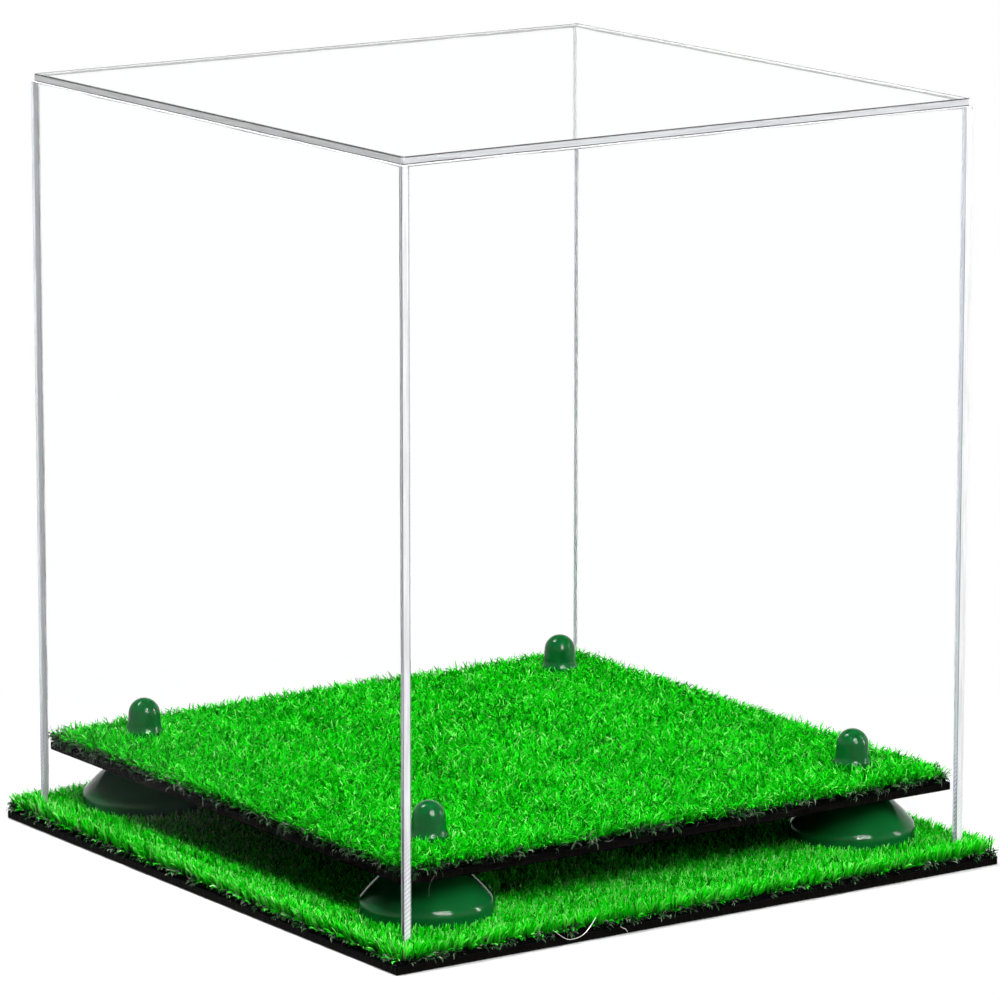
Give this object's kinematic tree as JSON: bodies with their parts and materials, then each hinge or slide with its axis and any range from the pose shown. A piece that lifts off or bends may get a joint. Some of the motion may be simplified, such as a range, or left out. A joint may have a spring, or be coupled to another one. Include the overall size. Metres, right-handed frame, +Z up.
{
  "type": "football display case",
  "caption": "Clear acrylic cover that lifts off a black base with artificial turf, over a raised turfed platform on domed risers.",
  "frame": {"origin": "centre of the base plate's underside, on the ground", "axes": "+Z up, +X to the right and +Y to the back along the square's sides, seen from the front wall"},
  "size_m": [0.273, 0.273, 0.292],
  "materials": {
    "clear_acrylic": "polished",
    "black_acrylic": "gloss",
    "turf": "matte",
    "green_plastic": "gloss",
    "screw_steel": "satin"
  },
  "bodies": {
    "base": {"base_plate": "black_acrylic", "platform_plate": "black_acrylic", "base_turf": "turf", "platform_turf": "turf", "riser_front_left": "green_plastic", "cap_nut_front_left": "green_plastic", "screw_front_left": "screw_steel", "riser_front_right": "green_plastic", "cap_nut_front_right": "green_plastic", "screw_front_right": "screw_steel", "riser_back_left": "green_plastic", "cap_nut_back_left": "green_plastic", "screw_back_left": "screw_steel", "riser_back_right": "green_plastic", "cap_nut_back_right": "green_plastic", "screw_back_right": "screw_steel"},
    "cover": {"cover_top": "clear_acrylic", "cover_front_wall": "clear_acrylic", "cover_back_wall": "clear_acrylic", "cover_left_wall": "clear_acrylic", "cover_right_wall": "clear_acrylic"}
  },
  "joints": [
    {"name": "cover_lift", "type": "slide", "parent": "base", "child": "cover", "axis": [0, 0, 1], "range_m": [0, 0.3]}
  ]
}
